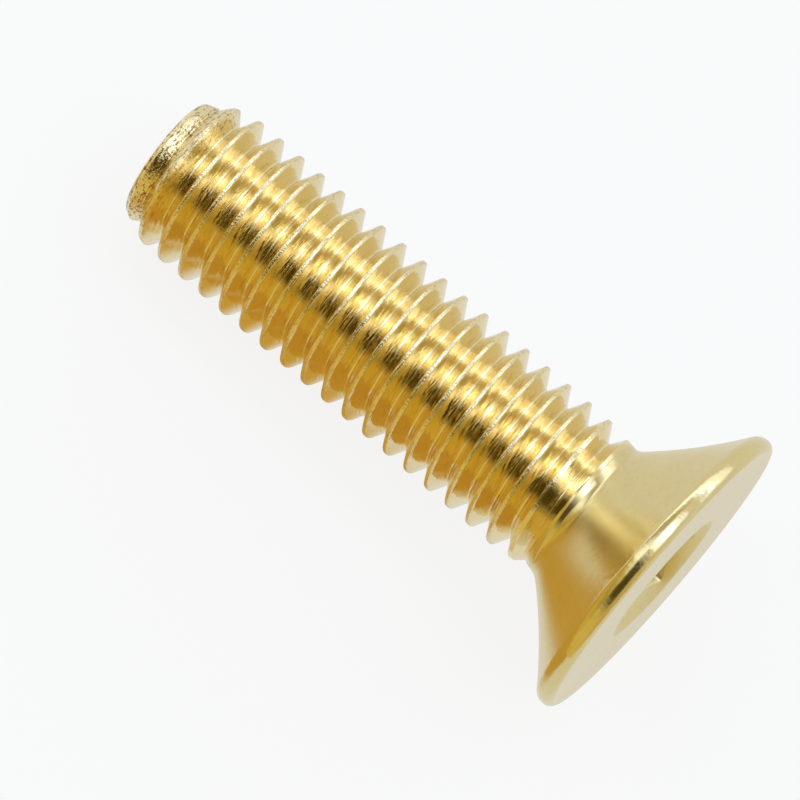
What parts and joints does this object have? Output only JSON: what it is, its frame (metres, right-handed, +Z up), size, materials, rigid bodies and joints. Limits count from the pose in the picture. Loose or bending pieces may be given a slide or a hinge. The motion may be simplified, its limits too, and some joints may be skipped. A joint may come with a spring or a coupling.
{
  "type": "machine screw",
  "caption": "Countersunk machine screw with a flat head, a concave seat, a hex socket and a rolled thread up to the neck, in bright gold-coloured brass.",
  "frame": {"origin": "on the floor under the middle of the bounding box of the lying screw", "axes": "+Z up; the screw lies along X with its head towards +X, and its axis sinks 8.1 degrees towards the tip at -X, because the head is wider than the thread"},
  "size_m": [0.0314, 0.0156, 0.0155],
  "materials": {
    "gold_metal": "bright gold-coloured plating, polished, with fine rolling marks on the thread"
  },
  "bodies": {
    "root": {"screw": "gold_metal"}
  },
  "joints": []
}
